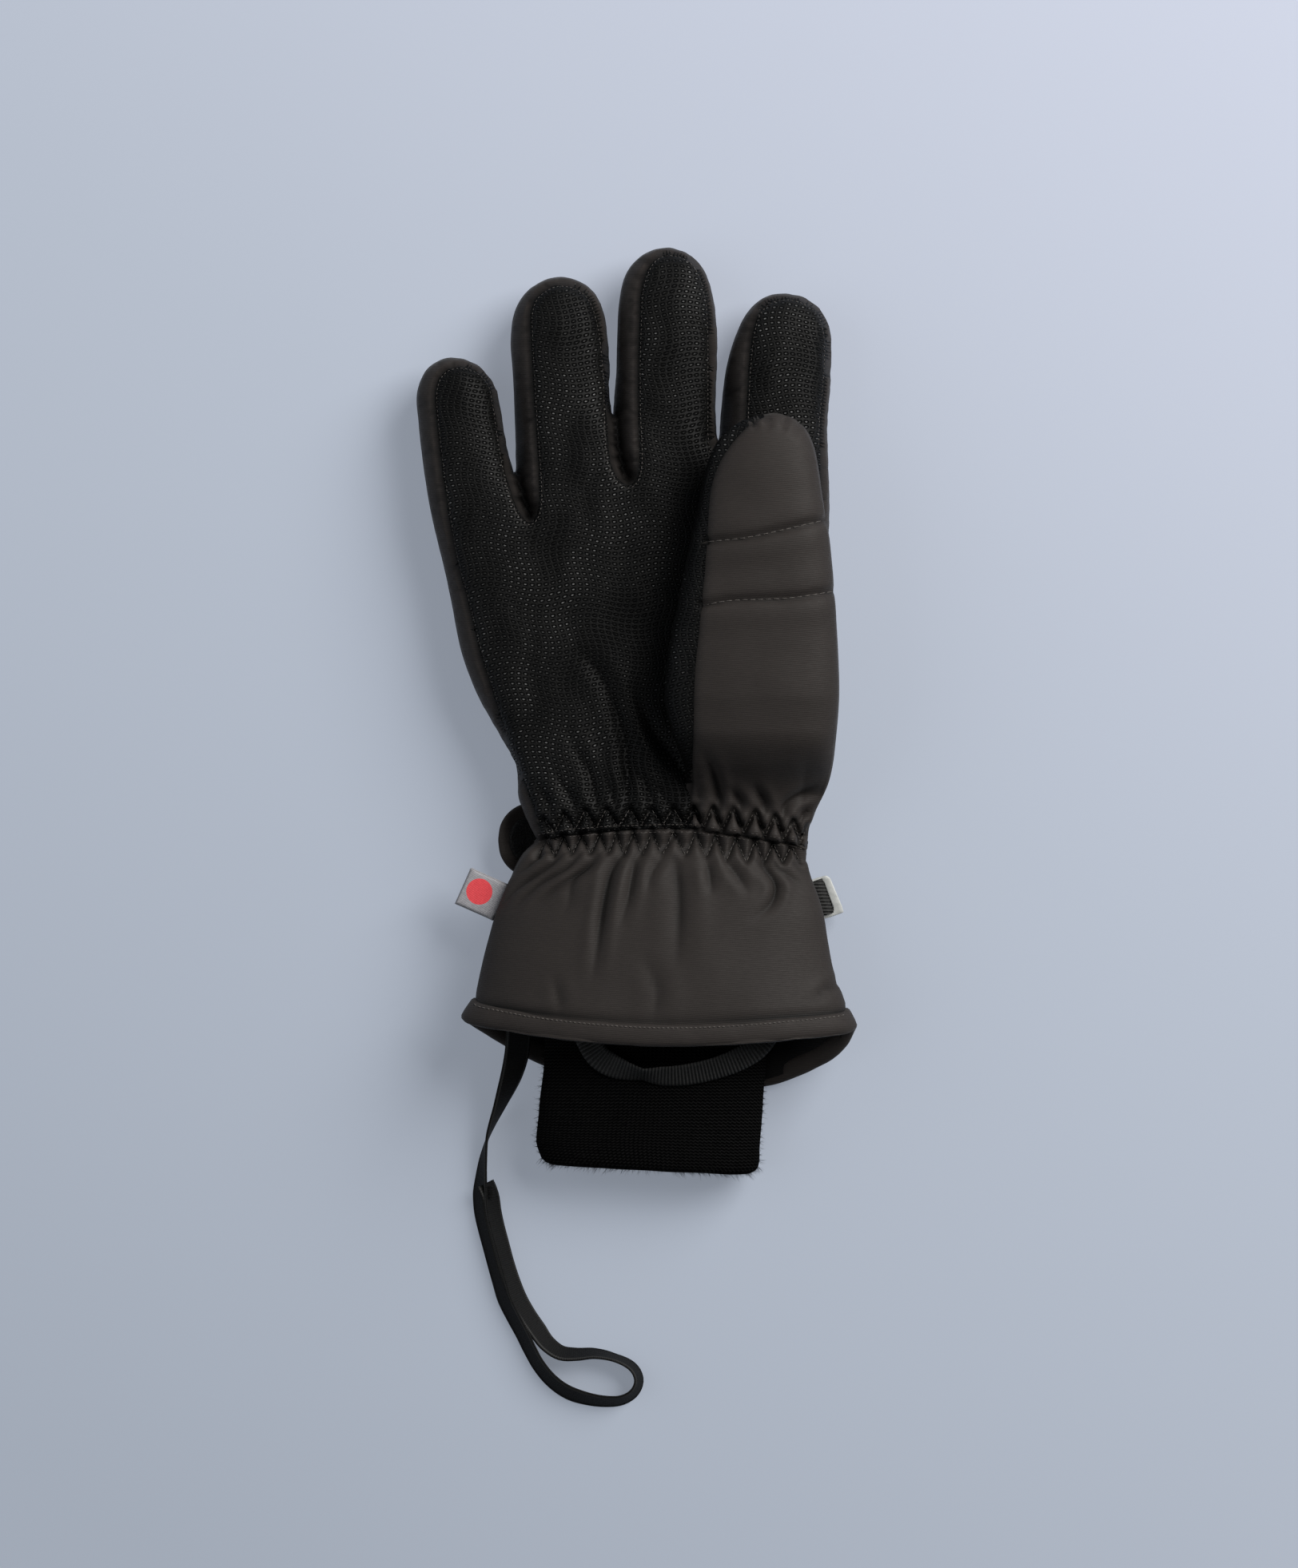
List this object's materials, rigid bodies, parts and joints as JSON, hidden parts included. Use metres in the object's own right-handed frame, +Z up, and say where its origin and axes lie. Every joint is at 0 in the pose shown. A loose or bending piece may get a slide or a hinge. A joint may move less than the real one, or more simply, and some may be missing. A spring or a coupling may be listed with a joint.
{
  "type": "ski glove",
  "caption": "Insulated right-hand ski glove with leather palm, nylon back, flared gauntlet over a rib-knit cuff, wrist leash, pull loop and pairing clip.",
  "frame": {"origin": "centre of the bottom of the box round the glove without its leash, on the surface that it lies on", "axes": "+Y from the cuff to the fingertips, +X towards the thumb side, +Z up out of the palm"},
  "size_m": [0.1472, 0.3925, 0.0499],
  "materials": {
    "goat_leather": "semi-gloss, embossed with small rings in wavy rows",
    "shell_nylon": "matt, fine cross rib",
    "lining_fleece": "matt brushed",
    "insulation_fill": "matt lofted fibre",
    "lining_taffeta": "slight sheen",
    "woven_tape": "matt, fine ribs",
    "rib_knit": "matt, knitted ribs with a slight fuzz",
    "hook_tape": "matt hooks",
    "loop_tape": "matt loops",
    "satin_label": "satin",
    "clip_plastic": "moulded, satin",
    "flat_elastic": "matt, ribbed",
    "thread": "stitched"
  },
  "bodies": {
    "gauntlet": {"gauntlet_palm_side": "shell_nylon", "gauntlet_back_side": "shell_nylon", "gauntlet_lining": "lining_taffeta", "hem_binding": "woven_tape", "knit_cuff": "rib_knit", "clip_webbing": "woven_tape", "leash": "flat_elastic", "leash_bar_tack": "thread"},
    "hand": {"palm_leather": "goat_leather", "thumb_root_nylon": "shell_nylon", "back_nylon": "shell_nylon", "insulation": "insulation_fill", "hand_lining": "lining_fleece", "loop_patch": "loop_tape", "pinky_knuckle_fold": "goat_leather", "ring_knuckle_fold": "goat_leather", "middle_knuckle_fold": "goat_leather", "index_knuckle_fold": "goat_leather", "thumb_root_fold": "shell_nylon", "wrist_elastic": "shell_nylon"},
    "pinky_middle": {"pinky_middle_leather": "goat_leather", "pinky_middle_nylon": "shell_nylon", "pinky_middle_liner": "lining_fleece", "pinky_tip_fold": "goat_leather"},
    "pinky_tip": {"pinky_tip_leather": "goat_leather", "pinky_tip_nylon": "shell_nylon", "pinky_tip_liner": "lining_fleece"},
    "ring_middle": {"ring_middle_leather": "goat_leather", "ring_middle_nylon": "shell_nylon", "ring_middle_liner": "lining_fleece", "ring_tip_fold": "goat_leather"},
    "ring_tip": {"ring_tip_leather": "goat_leather", "ring_tip_nylon": "shell_nylon", "ring_tip_liner": "lining_fleece"},
    "middle_middle": {"middle_middle_leather": "goat_leather", "middle_middle_nylon": "shell_nylon", "middle_middle_liner": "lining_fleece", "middle_tip_fold": "goat_leather"},
    "middle_tip": {"middle_tip_leather": "goat_leather", "middle_tip_nylon": "shell_nylon", "middle_tip_liner": "lining_fleece"},
    "index_middle": {"index_middle_leather": "goat_leather", "index_middle_nylon": "shell_nylon", "index_middle_liner": "lining_fleece", "index_tip_fold": "goat_leather"},
    "index_tip": {"index_tip_leather": "goat_leather", "index_tip_nylon": "shell_nylon", "index_tip_liner": "lining_fleece"},
    "thumb_middle": {"thumb_middle_nylon": "shell_nylon", "thumb_middle_leather": "goat_leather", "thumb_middle_liner": "lining_fleece", "thumb_tip_fold": "shell_nylon"},
    "thumb_tip": {"thumb_tip_nylon": "shell_nylon", "thumb_tip_leather": "goat_leather", "thumb_tip_liner": "lining_fleece"},
    "strap": {"wrist_strap": "shell_nylon", "hook_patch": "hook_tape"},
    "label": {"size_label": "satin_label"},
    "clip": {"clip_frame": "clip_plastic"},
    "pull_tab": {"pull_loop": "woven_tape"}
  },
  "joints": [
    {"name": "wrist_flex", "type": "hinge", "parent": "gauntlet", "child": "hand", "pos_m": [0.0125, -0.043, 0.017], "axis": [1, 0, 0], "range_deg": [0, 40], "deforming": ["wrist_elastic"]},
    {"name": "pinky_knuckle", "type": "hinge", "parent": "hand", "child": "pinky_middle", "pos_m": [-0.0566, 0.082, 0.016], "axis": [0.9917, 0.1288, 0], "range_deg": [0, 60], "deforming": ["pinky_knuckle_fold"]},
    {"name": "pinky_end_knuckle", "type": "hinge", "parent": "pinky_middle", "child": "pinky_tip", "pos_m": [-0.05892, 0.09985, 0.016], "axis": [0.9917, 0.1288, 0], "range_deg": [0, 50], "deforming": ["pinky_tip_fold"]},
    {"name": "ring_knuckle", "type": "hinge", "parent": "hand", "child": "ring_middle", "pos_m": [-0.0241, 0.098, 0.016], "axis": [0.9995, 0.0314, 0], "range_deg": [0, 60], "deforming": ["ring_knuckle_fold"]},
    {"name": "ring_end_knuckle", "type": "hinge", "parent": "ring_middle", "child": "ring_tip", "pos_m": [-0.02485, 0.12199, 0.016], "axis": [0.9995, 0.0314, 0], "range_deg": [0, 50], "deforming": ["ring_tip_fold"]},
    {"name": "middle_knuckle", "type": "hinge", "parent": "hand", "child": "middle_middle", "pos_m": [0.0102, 0.1, 0.016], "axis": [1, 0.0087, 0], "range_deg": [0, 60], "deforming": ["middle_knuckle_fold"]},
    {"name": "middle_end_knuckle", "type": "hinge", "parent": "middle_middle", "child": "middle_tip", "pos_m": [0.00996, 0.128, 0.016], "axis": [1, 0.0087, 0], "range_deg": [0, 50], "deforming": ["middle_tip_fold"]},
    {"name": "index_knuckle", "type": "hinge", "parent": "hand", "child": "index_middle", "pos_m": [0.048, 0.104, 0.016], "axis": [0.9988, -0.0488, 0], "range_deg": [0, 60], "deforming": ["index_knuckle_fold"]},
    {"name": "index_end_knuckle", "type": "hinge", "parent": "index_middle", "child": "index_tip", "pos_m": [0.04888, 0.12198, 0.016], "axis": [0.9988, -0.0488, 0], "range_deg": [0, 50], "deforming": ["index_tip_fold"]},
    {"name": "thumb_swing", "type": "hinge", "parent": "hand", "child": "thumb_middle", "pos_m": [0.04, -0.008, 0.039], "axis": [0.9993, -0.0384, 0], "range_deg": [0, 40], "deforming": ["thumb_root_fold"]},
    {"name": "thumb_end_knuckle", "type": "hinge", "parent": "thumb_middle", "child": "thumb_tip", "pos_m": [0.0423, 0.05196, 0.039], "axis": [0.9993, -0.0384, 0], "range_deg": [0, 30], "deforming": ["thumb_tip_fold"]},
    {"name": "strap_open", "type": "hinge", "parent": "gauntlet", "child": "strap", "pos_m": [0.024, -0.0437, 0.0012], "axis": [0, -1, 0], "range_deg": [0, 120]},
    {"name": "label_lift", "type": "hinge", "parent": "gauntlet", "child": "label", "pos_m": [-0.0432, -0.0583, 0.0186], "axis": [0.4067, 0.9135, 0], "range_deg": [0, 80]},
    {"name": "clip_swing", "type": "hinge", "parent": "gauntlet", "child": "clip", "pos_m": [0.06099, -0.06219, 0.0062], "axis": [0.3173, -0.9483, 0], "range_deg": [0, 70]},
    {"name": "pull_loop_lift", "type": "hinge", "parent": "gauntlet", "child": "pull_tab", "pos_m": [0.0135, -0.1075, 0.024], "axis": [-1, 0, 0], "range_deg": [0, 60]}
  ]
}
